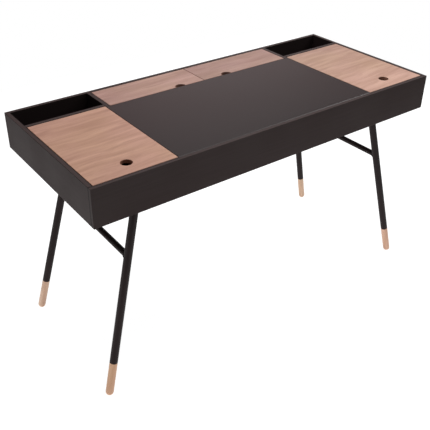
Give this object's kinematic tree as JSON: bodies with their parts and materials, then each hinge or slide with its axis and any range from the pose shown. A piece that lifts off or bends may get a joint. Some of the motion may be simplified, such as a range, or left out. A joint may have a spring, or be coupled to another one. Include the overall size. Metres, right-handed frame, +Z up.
{
  "type": "writing desk",
  "caption": "Writing desk: shallow box with hinged finger-hole lids, open corner trays and a fixed writing surface, on splayed round legs with wooden feet.",
  "frame": {"origin": "on the floor, under the middle of the box", "axes": "+X along the width, towards the sitter's right; +Y from the sitter's edge towards the back; +Z up"},
  "size_m": [1.3, 0.557, 0.755],
  "materials": {
    "black_lacquer": "satin black-brown lacquer on board",
    "surface_lacquer": "matt dark laminate",
    "walnut": "matt light walnut veneer",
    "foot_wood": "clear-lacquered turned wood",
    "black_steel": "satin black powder coat",
    "hinge_steel": "dark bronzed plate",
    "screw_steel": "dark zinc plate"
  },
  "bodies": {
    "desk": {"front_panel": "black_lacquer", "left_side_panel": "black_lacquer", "right_side_panel": "black_lacquer", "back_panel": "black_lacquer", "bottom_panel": "black_lacquer", "left_divider": "black_lacquer", "right_divider": "black_lacquer", "left_tray_divider": "black_lacquer", "right_tray_divider": "black_lacquer", "writing_surface": "surface_lacquer", "rear_bay_rail": "black_lacquer", "surface_rib": "black_lacquer", "rear_bay_partition": "black_lacquer", "left_lid_rest": "black_lacquer", "right_lid_rest": "black_lacquer", "rear_left_lid_rest": "black_lacquer", "rear_right_lid_rest": "black_lacquer", "left_lid_fixed_leaves": "hinge_steel", "left_lid_hinge_pins": "hinge_steel", "left_lid_fixed_screws": "hinge_steel", "right_lid_fixed_leaves": "hinge_steel", "right_lid_hinge_pins": "hinge_steel", "right_lid_fixed_screws": "hinge_steel", "rear_left_lid_fixed_leaves": "hinge_steel", "rear_left_lid_hinge_pins": "hinge_steel", "rear_left_lid_fixed_screws": "hinge_steel", "rear_right_lid_fixed_leaves": "hinge_steel", "rear_right_lid_hinge_pins": "hinge_steel", "rear_right_lid_fixed_screws": "hinge_steel", "front_left_leg": "black_steel", "front_left_plate": "black_steel", "front_left_foot": "foot_wood", "back_left_leg": "black_steel", "back_left_plate": "black_steel", "back_left_foot": "foot_wood", "front_right_leg": "black_steel", "front_right_plate": "black_steel", "front_right_foot": "foot_wood", "back_right_leg": "black_steel", "back_right_plate": "black_steel", "back_right_foot": "foot_wood", "left_stretcher": "black_steel", "right_stretcher": "black_steel", "plate_screws": "screw_steel"},
    "left_lid": {"left_lid": "walnut", "left_lid_moving_leaves": "hinge_steel", "left_lid_moving_screws": "hinge_steel"},
    "right_lid": {"right_lid": "walnut", "right_lid_moving_leaves": "hinge_steel", "right_lid_moving_screws": "hinge_steel"},
    "rear_left_lid": {"rear_left_lid": "walnut", "rear_left_lid_moving_leaves": "hinge_steel", "rear_left_lid_moving_screws": "hinge_steel"},
    "rear_right_lid": {"rear_right_lid": "walnut", "rear_right_lid_moving_leaves": "hinge_steel", "rear_right_lid_moving_screws": "hinge_steel"}
  },
  "joints": [
    {"name": "left_lid_hinge", "type": "hinge", "parent": "desk", "child": "left_lid", "pos_m": [-0.507, 0.1415, 0.7534], "axis": [-1, 0, 0], "range_deg": [0, 98]},
    {"name": "right_lid_hinge", "type": "hinge", "parent": "desk", "child": "right_lid", "pos_m": [0.507, 0.1415, 0.7534], "axis": [-1, 0, 0], "range_deg": [0, 98]},
    {"name": "rear_left_lid_hinge", "type": "hinge", "parent": "desk", "child": "rear_left_lid", "pos_m": [-0.1816, 0.2635, 0.7534], "axis": [-1, 0, 0], "range_deg": [0, 98]},
    {"name": "rear_right_lid_hinge", "type": "hinge", "parent": "desk", "child": "rear_right_lid", "pos_m": [0.1816, 0.2635, 0.7534], "axis": [-1, 0, 0], "range_deg": [0, 98]}
  ]
}
